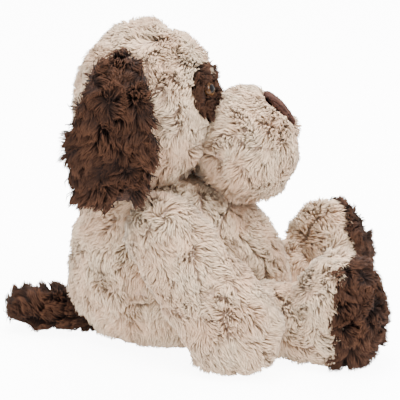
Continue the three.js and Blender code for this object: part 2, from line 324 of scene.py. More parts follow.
def form_over(name, nodes, centre, voxel):
    """A closed form on the outside of some CAD nodes, all of which can be seen from centre."""
    search = tree_of(nodes)
    ball = bmesh.new()
    bmesh.ops.create_icosphere(ball, subdivisions=BALL_SUBDIVISIONS, radius=1.0)
    for vert in ball.verts:
        way = vert.co.normalized()
        hit = search.ray_cast(centre + way * FAR, -way)[0]
        vert.co = hit if hit is not None else centre
    mesh = bpy.data.meshes.new(name)
    ball.to_mesh(mesh)
    ball.free()
    made = new_object(name, mesh)
    remesh(made, voxel)
    return made


SMOOTH_SHARE = 0.5
SMOOTH_BACK = 1.04  # the step back outwards is this much longer than the step in


def soften(thing, rounds):
    """Smooths a mesh without shrinking it much."""
    work = bmesh.new()
    work.from_mesh(thing.data)
    for _ in range(rounds):
        for factor in (SMOOTH_SHARE, -SMOOTH_SHARE * SMOOTH_BACK):
            moves = {}
            for vert in work.verts:
                around = [edge.other_vert(vert).co for edge in vert.link_edges]
                moves[vert] = (sum(around, Vector()) / len(around) - vert.co) * factor
            for vert, move in moves.items():
                vert.co += move
    work.to_mesh(thing.data)
    work.free()


# %% [markdown]
# ## Stuffing
# Stuffing pushes a sewn skin out everywhere except along its seams. The cloth simulation does the same: air
# pressure for the stuffing, no gravity because the fill carries the skin, and the seam's points held where
# they are. The moves are capped, so that a padded limb keeps the size of its CAD solid.


# %% Cloth simulation
PRESSURE = 4.0
FRAMES = 20
MOST_MOVE = 3.0 * MM
SEAM_HALF = 2.6 * MM
SEAM_DEPTH = 1.6 * MM
SEAM_FOOT = 2 * MM  # a seam is left alone below this height
RESTING = 1.2 * MM  # skin below this height rests on the floor and is held
FLOOR_GAP = 0.4 * MM
CLOTH = {
    "quality": 4,
    "mass": 0.2,
    "tension_stiffness": 12,
    "compression_stiffness": 12,
    "bending_stiffness": 0.3,
    "use_pressure": True,
    "uniform_pressure_force": PRESSURE,
    "vertex_group_mass": "seams",
}


def seam_distance(point, seams):
    """How far a point is from the nearest seam plane: a point, a normal and a test of where the seam runs."""
    return min((abs((point - at).dot(normal)) for at, normal, runs in seams if runs(point)), default=1.0)


def stuff(thing, seams, still=None):
    """Blows the skin up between its seams, which stay put and sink a little. still(point) is held too."""
    before = [v.co.copy() for v in thing.data.vertices]
    held = [i for i, co in enumerate(before) if seam_distance(co, seams) < SEAM_HALF or co.z < RESTING]
    if still:
        held += [i for i, co in enumerate(before) if still(co)]
    pins = thing.vertex_groups.new(name="seams")
    pins.add(held, 1.0, "REPLACE")
    cloth = thing.modifiers.new("cloth", "CLOTH")
    for setting, value in CLOTH.items():
        setattr(cloth.settings, setting, value)
    cloth.settings.effector_weights.gravity = 0
    cloth.point_cache.frame_end = FRAMES
    for number in range(1, FRAMES + 1):
        scene.frame_set(number)
    shown = thing.evaluated_get(bpy.context.evaluated_depsgraph_get())
    after = [v.co.copy() for v in shown.data.vertices]
    thing.modifiers.clear()
    thing.vertex_groups.clear()
    for vert, was, now in zip(thing.data.vertices, before, after):
        move = now - was
        if move.length > MOST_MOVE:
            move *= MOST_MOVE / move.length
        vert.co = was + move
        vert.co.z = max(vert.co.z, FLOOR_GAP)
    scene.frame_set(1)
    thing.data.update()
    normals = [v.normal.copy() for v in thing.data.vertices]
    for vert, normal in zip(thing.data.vertices, normals):
        near = seam_distance(vert.co, seams) / (2 * SEAM_HALF)
        if near < 1.0 and vert.co.z > SEAM_FOOT:
            vert.co -= normal * SEAM_DEPTH * (1.0 - near) ** 2


# %% [markdown]
# ## Pile
# One tree of Geometry Nodes makes all the fur. It scatters roots over a form and gives each one a lock: a
# thin three-sided spike with a bend in the middle. A lock leans the way the pile is brushed, and a slow noise
# turns the brushing here and there. Locks also lean towards the tip of the nearest tuft, since pile gathers
# into tufts. Each lock has its own cell in the UV map, so that its run of colour can be baked.

# %% The lock, and the tree that spreads it
LOCK_SIDES = 3
SHORTEST = 2.2 * MM  # pile that lies between two limbs
LOCK_RINGS = ((0.0, 0.68), (0.52, 0.50))  # height along the lock, and radius in lock widths
LOCK_POINTS = LOCK_FACES = 2 * LOCK_SIDES + 1
LOCK_TRIANGLES = 3 * LOCK_SIDES + 1
ROOT_ROWS, SIDE_ROWS, TIP_ROWS = (0.02, 0.10), (0.15, 0.55), (0.57, 0.95)  # of a lock's cell in the map
CELL_EDGE = 0.05


def lock():
    """One lock, a unit high: a foot, a ring of sides and a tip, each with its place in the lock's cell."""
    points = []
    for height, radius in LOCK_RINGS:
        for i in range(LOCK_SIDES):
            turn = math.tau * i / LOCK_SIDES
            points.append((radius * math.cos(turn), radius * math.sin(turn), height))
    points.append((0.0, 0.0, 1.0))
    low, high = ROOT_ROWS
    faces, places = [(2, 1, 0)], [[(CELL_EDGE, low), (0.5, high), (1 - CELL_EDGE, low)]]
    for i in range(LOCK_SIDES):
        j = (i + 1) % LOCK_SIDES
        left, right = (i + CELL_EDGE) / LOCK_SIDES, (i + 1 - CELL_EDGE) / LOCK_SIDES
        faces += [(i, j, 3 + j, 3 + i), (3 + i, 3 + j, 6)]
        low, high = SIDE_ROWS
        places.append([(left, low), (right, low), (right, high), (left, high)])
        low, high = TIP_ROWS
        places.append([(left, low), (right, low), ((left + right) / 2, high)])
    mesh = mesh_from("lock", points, faces)
    uv = mesh.uv_layers.new(name="OFBake")
    for face, corners in zip(mesh.polygons, places):
        for loop, place in zip(face.loop_indices, corners):
            uv.data[loop].uv = place
    mesh.polygons.foreach_set("use_smooth", [True] * len(mesh.polygons))
    made = new_object("lock", mesh)
    made.hide_render = True
    return made


SWIRL_SHIFT = (3.1, 1.7, 5.3)  # takes each seed to another part of the noise
SWIRL_GAIN = 4.0  # the noise stays within a quarter of its middle


class Tree:
    """Short words for building a Geometry Nodes tree."""

    def __init__(self, name):
        self.group = bpy.data.node_groups.new(name, "GeometryNodeTree")
        self.inputs = self.group.nodes.new("NodeGroupInput")
        self.output = self.group.nodes.new("NodeGroupOutput")
        self.ids = {}

    def socket(self, name, kind, outward=False):
        way = "OUTPUT" if outward else "INPUT"
        made = self.group.interface.new_socket(name, in_out=way, socket_type="NodeSocket" + kind)
        self.ids[name] = made.identifier

    def given(self, name):
        return self.inputs.outputs[name]

    def add(self, kind, values=(), **settings):
        made = self.group.nodes.new(kind)
        for name, value in settings.items():
            setattr(made, name, value)
        for name, value in dict(values).items():
            self.put(made.inputs[name], value)
        return made

    def put(self, socket, value):
        if isinstance(value, bpy.types.NodeSocket):
            self.group.links.new(value, socket)
        else:
            socket.default_value = value

    def vector(self, operation, a, b=(0.0, 0.0, 0.0), scale=None):
        made = self.add("ShaderNodeVectorMath", {0: a, 1: b}, operation=operation)
        if scale is not None:
            self.put(made.inputs["Scale"], scale)
        return made.outputs["Vector"]

    def scaled(self, a, scale):
        return self.vector("SCALE", a, scale=scale)

    def sum(self, first, *others):
        for other in others:
            first = self.vector("ADD", first, other)
        return first

    def unit(self, a):
        return self.vector("NORMALIZE", a)

    def number(self, operation, a, b=0.0):
        return self.add("ShaderNodeMath", {0: a, 1: b}, operation=operation).outputs[0]

    def random(self, low, high, seed, kind="FLOAT"):
        made = self.add("FunctionNodeRandomValue", data_type=kind)
        sockets = [s for s in made.inputs if s.enabled and s.name in ("Min", "Max")]
        self.put(sockets[0], low)
        self.put(sockets[1], high)
        self.put(made.inputs["Seed"], seed)
        return next(s for s in made.outputs if s.enabled)

    def named(self, name, kind="FLOAT"):
        made = self.add("GeometryNodeInputNamedAttribute", {"Name": name}, data_type=kind)
        return made.outputs["Attribute"]

    def swirl(self, place, size, seed):
        """A smooth random vector, from -1 to 1, that turns over about size metres."""
        shift = self.scaled(SWIRL_SHIFT, seed)
        at = self.vector("ADD", self.scaled(place, 1.0 / size), shift)
        pattern = self.add("ShaderNodeTexNoise", {"Vector": at, "Scale": 1.0, "Detail": 1.0})
        centred = self.vector("SUBTRACT", pattern.outputs["Color"], (0.5, 0.5, 0.5))
        return self.scaled(centred, SWIRL_GAIN)

    def keep(self, geometry, **fields):
        """Captures fields on geometry's points; returns the geometry and the kept fields by name."""
        made = self.group.nodes.new("GeometryNodeCaptureAttribute")
        made.domain = "POINT"
        self.group.links.new(geometry, made.inputs["Geometry"])
        kinds = {"VECTOR": "VECTOR", "RGBA": "VECTOR", "VALUE": "FLOAT", "INT": "INT"}
        for name, field in fields.items():
            made.capture_items.new(kinds[field.type], name)
            self.group.links.new(field, made.inputs[name])
        return made.outputs["Geometry"], {name: made.outputs[name] for name in fields}

    def store(self, geometry, name, value, kind="FLOAT", domain="POINT"):
        made = self.add("GeometryNodeStoreNamedAttribute", {"Name": name}, data_type=kind, domain=domain)
        self.group.links.new(geometry, made.inputs["Geometry"])
        self.put(made.inputs["Value"], value)
        return made.outputs["Geometry"]


FULL_ROOM = 8 * MM  # room at which the pile stands as thick as anywhere
BRUSHED_PATCH, LOOSE_PATCH = 21 * MM, 6 * MM  # over which the brushing turns, and single locks stray
LOCK_STRAY, TUFT_STRAY = 0.5, 0.45
TUFT_REACH = 0.95  # of the pile's length
TALL, PULLED, THICK = (0.72, 1.08), (0.55, 1.0), (0.75, 1.25)  # ranges from lock to lock
BEND, CURL = 0.9, 0.35
FLOOR_SPREAD = 1.2 * MM  # locks on the floor lie in layers this deep
FLAT_LOCK = 0.3 * MM


def pile_tree():
    """Builds the tree. Its fields are worked out for each form's roots, then for each point of each lock."""
    t = Tree("pile")
    t.socket("Geometry", "Geometry")
    t.socket("Geometry", "Geometry", outward=True)
    for name, kind in (
        ("Lock", "Object"),
        ("Area per lock", "Float"),
        ("Area per tuft", "Float"),
        ("Length", "Float"),
        ("Width", "Float"),
        ("Lean", "Float"),
        ("Swirl", "Float"),
        ("Gather", "Float"),
        ("Cells", "Float"),
        ("Seed", "Int"),
        ("Material", "Material"),
    ):
        t.socket(name, kind)
    form, seed, length = t.given("Geometry"), t.given("Seed"), t.given("Length")

    place = t.add("GeometryNodeInputPosition").outputs[0]
    room, comb = t.named("room"), t.named("comb", "FLOAT_VECTOR")
    crowd = t.add("ShaderNodeMapRange", {"Value": room}).outputs["Result"]
    spread_of_room = {"From Min": SHORTEST, "From Max": FULL_ROOM, "To Min": CROWDED, "To Max": 1.0}
    for name, value in spread_of_room.items():
        crowd.node.inputs[name].default_value = value

    def scatter(area, extra):
        density = t.number("DIVIDE", crowd, t.given(area))
        number = t.number("ADD", seed, extra)
        made = t.add("GeometryNodeDistributePointsOnFaces", {"Density": density, "Seed": number})
        t.group.links.new(form, made.inputs["Mesh"])
        return made.outputs["Points"], made.outputs["Normal"]

    def way(normal, stray):
        brushed = t.scaled(comb, t.given("Lean"))
        turned = t.scaled(t.swirl(place, BRUSHED_PATCH, 1.0), t.given("Swirl"))
        loose = t.scaled(t.swirl(place, LOOSE_PATCH, 4.0), stray)
        return t.unit(t.sum(normal, brushed, turned, loose))

    # The tufts: fewer points, each with the place of its tip.
    tufts, tuft_normal = scatter("Area per tuft", 50.0)
    reach = t.number("MULTIPLY", t.number("MINIMUM", length, room), TUFT_REACH)
    tuft_tip = t.sum(place, t.scaled(way(tuft_normal, TUFT_STRAY), reach))
    tufts, tuft = t.keep(tufts, tip=tuft_tip)

    # The locks.
    locks, normal = scatter("Area per lock", 0.0)
    nearest = t.add("GeometryNodeSampleNearest", {"Sample Position": place}, domain="POINT")
    t.group.links.new(tufts, nearest.inputs["Geometry"])
    sample = t.add("GeometryNodeSampleIndex", data_type="FLOAT_VECTOR", domain="POINT")
    t.group.links.new(tufts, sample.inputs["Geometry"])
    t.put(sample.inputs["Value"], tuft["tip"])
    t.put(sample.inputs["Index"], nearest.outputs["Index"])
    varied = t.number("MULTIPLY", t.number("MINIMUM", length, room), t.random(*TALL, 3))
    own_tip = t.sum(place, t.scaled(way(normal, LOCK_STRAY), varied))
    pull = t.number("MULTIPLY", t.given("Gather"), t.random(*PULLED, 4))
    gathered = t.vector("SUBTRACT", sample.outputs["Value"], own_tip)
    tip = t.sum(own_tip, t.scaled(gathered, pull))
    reached = t.vector("SUBTRACT", tip, place)
    spin = t.random((-1.0, -1.0, -1.0), (1.0, 1.0, 1.0), 5, "FLOAT_VECTOR")
    locks, kept = t.keep(
        locks,
        root=place,
        normal=normal,
        reach=reached,
        spin=spin,
        tall=varied,
        tint=t.random(0.0, 1.0, 6),
        thick=t.random(*THICK, 7),
        cell=t.add("GeometryNodeInputIndex").outputs[0],
        crowd=crowd,
    )
    source = t.add("GeometryNodeObjectInfo", {"Object": t.given("Lock")})
    spread = t.add("GeometryNodeInstanceOnPoints", {"Instance": source.outputs["Geometry"]})
    t.group.links.new(locks, spread.inputs["Points"])
    real = t.add("GeometryNodeRealizeInstances")
    t.group.links.new(spread.outputs["Instances"], real.inputs["Geometry"])

    # Each point of a lock goes to its place on a curve that leaves along the normal and bends to the tip.
    local = t.vector("SUBTRACT", place, kept["root"])
    parts = t.add("ShaderNodeSeparateXYZ", {0: local}).outputs
    up = parts["Z"]
    made, at = t.keep(real.outputs["Geometry"], along=up, side=parts["X"], over=parts["Y"])
    along = at["along"]
    bend = t.number("MULTIPLY", t.number("MULTIPLY", along, t.number("SUBTRACT", 1.0, along)), BEND)
    rise = t.scaled(kept["normal"], t.number("MULTIPLY", bend, kept["tall"]))
    curl = t.scaled(kept["spin"], t.number("MULTIPLY", t.number("MULTIPLY", bend, kept["tall"]), CURL))
    middle_line = t.sum(t.scaled(kept["reach"], along), rise, curl)
    across = t.unit(t.vector("CROSS_PRODUCT", kept["reach"], kept["spin"]))
    third = t.unit(t.vector("CROSS_PRODUCT", kept["reach"], across))
    wide = t.number("MULTIPLY", t.given("Width"), kept["thick"])
    offset = t.sum(
        t.scaled(across, t.number("MULTIPLY", at["side"], wide)),
        t.scaled(third, t.number("MULTIPLY", at["over"], wide)),
    )
    target = t.sum(kept["root"], middle_line, offset)
    split = t.add("ShaderNodeSeparateXYZ", {0: target}).outputs
    layer_height = t.number("ADD", t.number("MULTIPLY", kept["tint"], FLOOR_SPREAD), FLOOR_GAP)
    lowest = t.number("ADD", layer_height, t.number("MULTIPLY", at["over"], FLAT_LOCK))
    height = t.number("MAXIMUM", split["Z"], lowest)
    final = t.add("ShaderNodeCombineXYZ", {"X": split["X"], "Y": split["Y"], "Z": height}).outputs[0]
    moved = t.add("GeometryNodeSetPosition", {"Position": final})
    t.group.links.new(made, moved.inputs["Geometry"])
    made = t.store(moved.outputs["Geometry"], "along", along)
    made = t.store(made, "tint", kept["tint"])
    made = t.store(made, "lie", kept["normal"], "FLOAT_VECTOR")
    # Kept for the material, which paints shade on locks where the pile is short.
    made = t.store(made, "open", kept["crowd"])

    # The lock's cell in the map.
    cells = t.given("Cells")
    row = t.number("FLOOR", t.number("DIVIDE", kept["cell"], cells))
    column = t.number("SUBTRACT", kept["cell"], t.number("MULTIPLY", row, cells))
    corner = t.add("ShaderNodeCombineXYZ", {"X": column, "Y": row}).outputs[0]
    shrunk = t.scaled(t.named("OFBake", "FLOAT_VECTOR"), 1 - 2 * CELL_EDGE)
    inside = t.vector("ADD", shrunk, (CELL_EDGE, CELL_EDGE, 0.0))
    placed = t.scaled(t.vector("ADD", corner, inside), t.number("DIVIDE", 1.0, cells))
    made = t.store(made, "OFBake", placed, "FLOAT2", "CORNER")
    finish = t.add("GeometryNodeSetMaterial", {"Material": t.given("Material")})
    t.group.links.new(made, finish.inputs["Geometry"])
    t.group.links.new(finish.outputs["Geometry"], t.output.inputs["Geometry"])
    return t


LOCK = lock()
PILE = pile_tree()
MM2 = MM * MM
SPARE_CELLS = 1.06
SHAGGY = {
    "Lean": 0.9,
    "Length": 17 * MM,
    "Area per lock": 1.6 * MM2,
    "Area per tuft": 70 * MM2,
    "Swirl": 1.8,
    "Gather": 0.55,
}


def grow(name, carrier, body, slot, fabric, **kind):
    """Grows pile on a form whose points hold "room" and "comb". The result is a piece of its own."""
    settings = {
        "Area per lock": 2.0 * MM2,
        "Area per tuft": 120 * MM2,
        "Length": 16 * MM,
        "Width": 1.0 * MM,
        "Lean": 1.35,
        "Swirl": 1.7,
        "Gather": 0.34,
        "Seed": 7,
        **kind,
    }
    area = sum(face.area for face in carrier.data.polygons)
    settings["Cells"] = float(math.ceil(math.sqrt(area / settings["Area per lock"] * SPARE_CELLS)) + 1)
    settings["Lock"], settings["Material"] = LOCK, fabric
    grower = carrier.modifiers.new("pile", "NODES")
    grower.node_group = PILE.group
    for key, value in settings.items():
        grower[PILE.ids[key]] = value
    shown = carrier.evaluated_get(bpy.context.evaluated_depsgraph_get())
    mesh = bpy.data.meshes.new_from_object(shown)
    mesh.name = name
    made = new_object(name, mesh)
    bpy.data.objects.remove(carrier)
    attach(made, body)
    locks = len(mesh.vertices) // LOCK_POINTS
    print(name, "locks:", locks, "triangles:", len(mesh.polygons) // LOCK_FACES * LOCK_TRIANGLES)


# %% [markdown]
# ## Where the pile is short
# Pile stands at full length in the open, and lies flat where limbs meet or where the toy rests on the floor.
# Each point of a form is told how much room it has, which way its pile is brushed, and so how its locks will
# lie. The pile's material paints locks darker where the room is short: painted shade between limbs and under
# the toy.


# %% Carriers
SKINS = [name for name in NODES if name.endswith(("_skin", "_cap", "_panel", "_front", "_lining"))]
BODY_OF = {name: body for body, names in frame["record"]["behaviour"]["bodies"].items() for name in names}
OTHERS = {}
INSIDE = 0.5 * MM  # a point deeper than this in a neighbour carries no pile
ROOM_PER_GAP = 0.8  # pile length for each metre to the nearest neighbour
ROOM_PER_HEIGHT = 0.7
FACES_DOWN = -0.6


def others_of(body):
    if body not in OTHERS:
        OTHERS[body] = tree_of([name for name in SKINS if BODY_OF[name] != body])
    return OTHERS[body]


def room_at(point, normal, search, longest):
    """The pile's length at a point, or None where it would be inside another limb."""
    near, facing, _, far = search.find_nearest(point)
    if far < longest * 2 and (point - near).dot(facing) < -INSIDE:
        return None
    room = min(longest, SHORTEST + ROOM_PER_GAP * far)
    if normal.z < FACES_DOWN:
        room = min(room, SHORTEST + ROOM_PER_HEIGHT * point.z)
    return room


def carrier(form, body, comb, keep=None, longest=12 * MM):
    """A copy of a form's faces that carry pile. comb(point, normal) is the way it is brushed."""
    work = bmesh.new()
    work.from_mesh(form.data)
    room = work.verts.layers.float.new("room")
    brushed = work.verts.layers.float_vector.new("comb")
    search = others_of(body)
    rooms = {v: room_at(v.co, v.normal, search, longest) for v in work.verts}
    shut = [f for f in work.faces if any(rooms[v] is None for v in f.verts)]
    if keep:
        shut += [f for f in work.faces if not keep(f.calc_center_median())]
    bmesh.ops.delete(work, geom=list(set(shut)), context="FACES")
    for v in work.verts:
        v[room] = rooms[v] or SHORTEST
        way = comb(v.co, v.normal)
        v[brushed] = way - v.normal * way.dot(v.normal)
    mesh = bpy.data.meshes.new(form.name + "_carrier")
    work.to_mesh(mesh)
    work.free()
    return new_object(form.name + "_carrier", mesh)


def cut_off(form, name, at, normal):
    """Cuts the side that normal points to off a closed form, as a closed form of its own."""
    far = form.copy()
    far.data = form.data.copy()
    far.name = name
    scene.collection.objects.link(far)
    for thing, outward in ((form, normal), (far, -normal)):
        work = bmesh.new()
        work.from_mesh(thing.data)
        parts = work.verts[:] + work.edges[:] + work.faces[:]
        cut = bmesh.ops.bisect_plane(work, geom=parts, plane_co=at, plane_no=outward, clear_outer=True)
        edges = [e for e in cut["geom_cut"] if isinstance(e, bmesh.types.BMEdge)]
        bmesh.ops.holes_fill(work, edges=edges, sides=0)
        bmesh.ops.recalc_face_normals(work, faces=work.faces)
        work.to_mesh(thing.data)
        work.free()
    return form, far


def finish(thing, body, slot, fabric, nodes, fill=0.8):
    """A padded skin: takes its fabric, stands for its CAD nodes and rides its body."""
    thing.data.materials.clear()
    thing.data.materials.append(fabric)
    shade_smooth(thing)
    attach(thing, body)
    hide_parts(*nodes)


def along(way):
    return lambda point, normal: way


def everywhere(point):
    return True


VOXEL = 5.0 * MM

# %% [markdown]
# ## Torso and belly
# The torso is sewn from a back and sides, and a belly panel let in between them. It sits flat on the floor on
# its bag of beads. Its pile is brushed down.

# %% Torso
SEAM_Y = (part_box("belly_panel")[1][1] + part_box("torso_skin")[0][1]) / 2
belly_seam = (Vector((0, SEAM_Y, 0)), Vector((0, 1, 0)), everywhere)
BACK_FROM = 20 * MM
back_seam = (Vector((0, 0, 0)), Vector((1, 0, 0)), lambda p: p.y > BACK_FROM)
TORSO_NODES = ["torso_skin", "belly_panel", "torso_stuffing", "seat_bead_bag"]
TORSO_CENTRE = Vector((0, 5 * MM, 80 * MM))
torso = form_over("torso", TORSO_NODES, TORSO_CENTRE, VOXEL)
soften(torso, 3)
stuff(torso, [belly_seam, back_seam])
DOWN = Vector((0, 0.1, -1))
for side, sign in (("right", -1), ("left", 1)):
    half = carrier(torso, "torso", along(DOWN), lambda p, sign=sign: p.y > SEAM_Y and p.x * sign > 0)
    grow(f"torso_{side}_pile", half, "torso", "cream_plush", CREAM_PILE, Seed=3)
front = carrier(torso, "torso", along(DOWN), lambda p: p.y <= SEAM_Y)
grow("belly_pile", front, "torso", "cream_plush", CREAM_PILE, Seed=4)
torso, belly = cut_off(torso, "belly", belly_seam[0], -belly_seam[1])
finish(torso, "torso", "cream_plush", CREAM_BACK, ["torso_skin"])
finish(belly, "torso", "cream_plush", CREAM_BACK, ["belly_panel"])
print("torso faces:", len(torso.data.polygons), "belly faces:", len(belly.data.polygons))

# %% [markdown]
# ## Head and muzzle
# The head is a tall ball with full cheeks. The muzzle is a second, rounder ball sewn onto its front, and its
# pile is brushed away from the nose.

# %% Head
PATCH_EDGE = 3.0 * MM  # the head's form under a patch is this close to the patch
NOSE_EDGE = 1.6 * MM
PATCH_TREES = {side: tree_of(["eye_patch_" + side]) for side in SIDES}
NOSE_TREE = tree_of(["nose"])
NOSE = middle("nose")


def on_patch(point, side):
    return PATCH_TREES[side].find_nearest(point)[3] < PATCH_EDGE


def on_patches(point):
    return any(on_patch(point, side) for side in SIDES)


def off_patches(point):
    return not on_patches(point)


def under_nose(point):
    return NOSE_TREE.find_nearest(point)[3] < NOSE_EDGE


def over_eye(point, normal):
    """Pile round an eye is brushed forwards and out, so that the eye looks out of it."""
    return Vector((0.5 * math.copysign(1, point.x), -0.5, -0.2))


def from_face(point, normal):
    """Pile on the head is brushed back, down and away from the middle."""
    return Vector((0.25 * (1 if point.x > 0 else -1), 0.55, -0.65))


GUSSET_HALF = 22 * MM  # of the panel that runs over the middle of the head


def head_panel(point):
    """Which panel of the head a point is on: -1 right, 0 middle, 1 left."""
    return 0 if abs(point.x) < GUSSET_HALF else math.copysign(1, point.x)


GUSSET_FROM = 200 * MM
CHIN_TO = 170 * MM
ACROSS = Vector((1, 0, 0))
head_seams = [(ACROSS * sign * GUSSET_HALF, ACROSS, lambda p: p.z > GUSSET_FROM) for sign in (-1, 1)]
head = form_over("head", ["head_skin", "head_stuffing"], middle("head_skin"), VOXEL)
soften(head, 2)
stuff(head, head_seams, on_patches)
for side, sign in (("right", -1), ("middle", 0), ("left", 1)):
    panel = carrier(head, "head", from_face, lambda p, sign=sign: off_patches(p) and head_panel(p) == sign)
    grow(f"head_{side}_pile", panel, "head", "cream_plush", CREAM_PILE, Seed=5)
finish(head, "head", "cream_plush", CREAM_BACK, ["head_skin"])

muzzle = form_over("muzzle", ["muzzle_skin", "muzzle_stuffing"], middle("muzzle_skin"), VOXEL)
soften(muzzle, 2)
stuff(muzzle, [(Vector((0, 0, 0)), ACROSS, lambda p: p.z < CHIN_TO)], under_nose)
HEAD_TREE = tree_of(["head_skin"])
HEAD_CLEAR = 1.5 * MM


def from_nose(point, normal):
    return (point - NOSE).normalized()


def off_head(point):
    near, facing, _, far = HEAD_TREE.find_nearest(point)
    return far > HEAD_CLEAR and (point - near).dot(facing) > 0


def clear_of_nose(point):
    return off_head(point) and not under_nose(point)


round_nose = carrier(muzzle, "head", from_nose, clear_of_nose)
grow("muzzle_pile", round_nose, "head", "cream_plush", CREAM_PILE, Seed=6)
finish(muzzle, "head", "cream_plush", CREAM_BACK, ["muzzle_skin"])

# %% [markdown]
# ## Nose and eye patches
# The nose is a flat pad of velour, whose pile is under two millimetres long. Each eye sits in a patch of the
# brown plush, clipped shorter than the rest.


# %% Pads
def pad(name, node_name, voxel, fabric):
    made = new_object(name, NODES[node_name].data.copy())
    made.data.transform(NODES[node_name].matrix_world)
    remesh(made, voxel)
    soften(made, 2)
    made.data.materials.clear()
    made.data.materials.append(fabric)
    shade_smooth(made)
    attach(made, "head")
    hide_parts(node_name)
    return made


def proud_of(search, least):
    return lambda point: search.find_nearest(point)[3] > least


NOSE_VOXEL, PATCH_VOXEL = 1.4 * MM, 1.5 * MM
NOSE_SUNK = 2.5 * MM  # of the pad's edge lies in the muzzle's pile
VELOUR_LONGEST, PATCH_LONGEST = 2 * MM, 13 * MM
EYE_CLEAR = 6.8 * MM
VELOUR = {"Area per lock": 0.32 * MM2, "Area per tuft": 9 * MM2, "Length": 1.9 * MM, "Width": 0.5 * MM}
CLIPPED = {
    "Area per lock": 0.9 * MM2,
    "Area per tuft": 60 * MM2,
    "Length": PATCH_LONGEST,
    "Width": 0.9 * MM,
    "Lean": 0.6,
}
nose = pad("nose_pad", "nose", NOSE_VOXEL, NOSE_PILE)
on_nose = carrier(nose, "head", from_nose, proud_of(tree_of(["muzzle_skin"]), NOSE_SUNK), VELOUR_LONGEST)
grow("nose_pile", on_nose, "head", "nose_velour", NOSE_PILE, Seed=8, **VELOUR)
for side in SIDES:
    pad("eye_patch_" + side, "eye_patch_" + side, PATCH_VOXEL, BROWN_BACK)
    eye_at = middle("eye_" + side)

    def clear_of_eye(point, at=eye_at, side=side):
        return (point - at).length > EYE_CLEAR and on_patch(point, side)

    round_eye = carrier(head, "head", over_eye, clear_of_eye, PATCH_LONGEST)
    grow("eye_patch_pile_" + side, round_eye, "head", "brown_plush", BROWN_PILE, Seed=9, **CLIPPED)

# %% [markdown]
# ## Eyes
# A safety eye is a moulded dome with a shank. The shank goes through a hole in the face, and a washer pushed
# onto it from inside holds it for good. Both are turned from a profile.


# %% Eyes and washers
def turned(name, profile, at, axis, segments=48):
    """A solid turned about an axis, from (radius, height) pairs that start and end on the axis, or close."""
    spin = Vector((0, 0, 1)).rotation_difference(axis)
    rings, points, faces = [], [], []
    for radius, height in profile:
        if radius < 1e-9:
            rings.append([len(points)])
            points.append(Vector((0, 0, height)))
            continue
        rings.append(list(range(len(points), len(points) + segments)))
        for i in range(segments):
            turn = math.tau * i / segments
            points.append(Vector((radius * math.cos(turn), radius * math.sin(turn), height)))
    closed = len(rings[0]) > 1
    pairs = list(zip(rings, rings[1:])) + ([(rings[-1], rings[0])] if closed else [])
    for low, high in pairs:
        for i in range(segments):
            j = (i + 1) % segments
            if len(low) == 1:
                faces.append((low[0], high[j], high[i]))
            elif len(high) == 1:
                faces.append((low[i], low[j], high[0]))
            else:
                faces.append((low[i], low[j], high[j], high[i]))
    mesh = mesh_from(name, [at + spin @ p for p in points], faces)
    ring = mesh.attributes.new("ring", "FLOAT", "POINT")
    widest = max(radius for radius, height in profile)
    ring.data.foreach_set("value", [math.hypot(p.x, p.y) / widest for p in points])
    made = new_object(name, mesh)
    shade_smooth(made)
    return made


def heights(node_name, at, axis):
    thing = NODES[node_name]
    values = [(thing.matrix_world @ v.co - at).dot(axis) for v in thing.data.vertices]
    return min(values), max(values)


def dress(thing, fabric, slot, body, *nodes):
    thing.data.materials.append(fabric)
    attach(thing, body)
    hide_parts(*nodes)


DOME_RADIUS, DOME_RISE, DOME_STEPS = 7.0 * MM, 5.0 * MM, 12
RIM_DEPTH, RIM_RADIUS = 0.7 * MM, DOME_RADIUS * 0.97
SHANK = 2.0 * MM
BORE, FACE, OUTSIDE, WASHER_EDGE = 2.5 * MM, 8.5 * MM, 9 * MM, 0.4 * MM  # the washer's radii and its edge
for side in SIDES:
    behind = middle("eye_washer_" + side)
    axis = (middle("eye_" + side) - behind).normalized()
    low, high = heights("eye_" + side, behind, axis)
    under = high - DOME_RISE - RIM_DEPTH
    angles = [i * math.pi / (2 * DOME_STEPS) for i in range(DOME_STEPS)]
    dome = [(DOME_RADIUS * math.cos(a), high - DOME_RISE * (1 - math.sin(a))) for a in angles]
    shank = [(0.0, low), (SHANK, low), (SHANK, under), (RIM_RADIUS, under)]
    eye = turned("eye_" + side, [*shank, *dome, (0.0, high)], behind, axis)
    dress(eye, RESIN, "eye_plastic", "head", "eye_" + side)
    low, high = heights("eye_washer_" + side, behind, axis)
    lower = [(BORE, low), (FACE, low), (OUTSIDE, low + WASHER_EDGE)]
    ring = [*lower, (OUTSIDE, high - WASHER_EDGE), (FACE, high), (BORE, high)]
    washer = turned("eye_washer_" + side, ring, behind, axis)
    dress(washer, MOULDED, "washer_plastic", "head", "eye_washer_" + side)

# %% [markdown]
# ## Arms
# An arm is two shaped panels sewn round the edge, so a seam runs down its front and its back. It is sewn to
# the torso round the shoulder, and its pile is brushed down towards the paw.

# %% Arms
for side in SIDES:
    body = f"arm_{side}"
    names = [f"arm_{side}_skin", f"arm_{side}_stuffing", f"paw_{side}_bead_bag"]
    shoulder = PIVOT[f"arm_{side}_swing"]
    paw = middle(f"paw_{side}_bead_bag")
    way = (paw - shoulder).normalized()
    arm = form_over(body, names, (shoulder + paw) / 2, VOXEL)
    soften(arm, 2)
    flat_way = way.cross(ACROSS).cross(way).normalized()
    stuff(arm, [(shoulder, flat_way, everywhere)])
    grow(f"arm_{side}_pile", carrier(arm, body, along(way)), body, "cream_plush", CREAM_PILE, Seed=11)
    finish(arm, body, "cream_plush", CREAM_BACK, names[:1])

# %% [markdown]
# ## Legs and feet
# A leg sticks out in front and ends in a tall foot. Its brown cap is a separate panel, sewn on round the foot
# behind the toes. A seam runs along the leg above and below.

